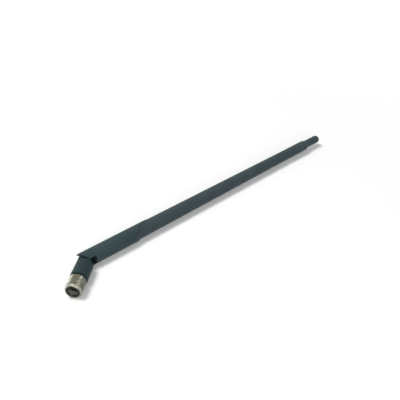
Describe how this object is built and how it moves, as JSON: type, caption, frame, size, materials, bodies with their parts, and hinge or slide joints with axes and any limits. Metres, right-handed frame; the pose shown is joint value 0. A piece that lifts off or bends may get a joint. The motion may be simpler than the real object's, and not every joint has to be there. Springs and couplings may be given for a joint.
{
  "type": "omnidirectional wifi antenna",
  "caption": "Slim tapered whip aerial on a tilting elbow joint, with a swivelling coaxial plug and a knurled coupling nut for wireless equipment.",
  "frame": {"origin": "centre of the plug's mating face, the front end of its outer contact barrel", "axes": "-Y is the way the mating socket comes off the plug; the plug and knuckle lie along +Y; +Z is the tilt axis, and the whip leans towards +X"},
  "size_m": [0.1347, 0.1859, 0.0104],
  "materials": {
    "gold_plate": "gold-plated brass, bright",
    "barrel_metal": "nickel-plated brass, turned, bright",
    "insulator_black": "black moulded plastic, satin",
    "insulator_plastic": "white fluoroplastic or nylon, satin",
    "spring_steel": "spring steel, satin",
    "gasket_rubber": "soft, matte",
    "ferrule_metal": "nickel-plated brass, satin",
    "braid_metal": "tinned copper braid",
    "nut_metal": "nickel-plated brass with a knurled band, bright with a warm grey cast",
    "knuckle_plastic": "dark slate moulding, satin",
    "lead_jacket": "thin black cable jacket",
    "housing_plastic": "dark slate moulding, satin",
    "sheath_plastic": "dark slate moulding, satin",
    "sleeve_brass": "drawn brass tube, satin",
    "solder": "solder, bright",
    "shrink_plastic": "shrink tube, satin",
    "wire_metal": "copper-plated wire, satin",
    "foam": "closed-cell foam"
  },
  "bodies": {
    "connector": {"connector_body": "barrel_metal", "contact_insulator": "insulator_black", "centre_contact": "gold_plate", "nut_retaining_ring": "spring_steel", "swivel_ring": "spring_steel", "sealing_gasket": "gasket_rubber", "crimp_ferrule": "ferrule_metal", "crimped_braid": "braid_metal"},
    "coupling": {"coupling_nut": "nut_metal"},
    "knuckle": {"knuckle": "knuckle_plastic", "coax_lead": "lead_jacket"},
    "whip": {"hinge_housing": "housing_plastic", "radome_sheath": "sheath_plastic", "sleeve_radiator": "sleeve_brass", "sleeve_bush": "insulator_plastic", "braid_solder": "solder", "feed_solder": "solder", "feed_shrink": "shrink_plastic", "radiator_wire": "wire_metal", "phasing_card": "insulator_plastic", "wire_spacer_lower": "insulator_plastic", "wire_spacer_middle": "insulator_plastic", "wire_spacer_upper": "insulator_plastic", "tip_cushion": "foam"}
  },
  "joints": [
    {"name": "nut_spin", "type": "hinge", "parent": "connector", "child": "coupling", "pos_m": [0, 0.004, 0], "axis": [0, 1, 0], "continuous": true},
    {"name": "swivel", "type": "hinge", "parent": "connector", "child": "knuckle", "pos_m": [0, 0.01, 0], "axis": [0, 1, 0], "range_deg": [-180, 180]},
    {"name": "tilt", "type": "hinge", "parent": "knuckle", "child": "whip", "pos_m": [0, 0.02535, 0], "axis": [0, 0, -1], "range_deg": [-39.1, 50.9], "deforming": ["coax_lead"]}
  ]
}
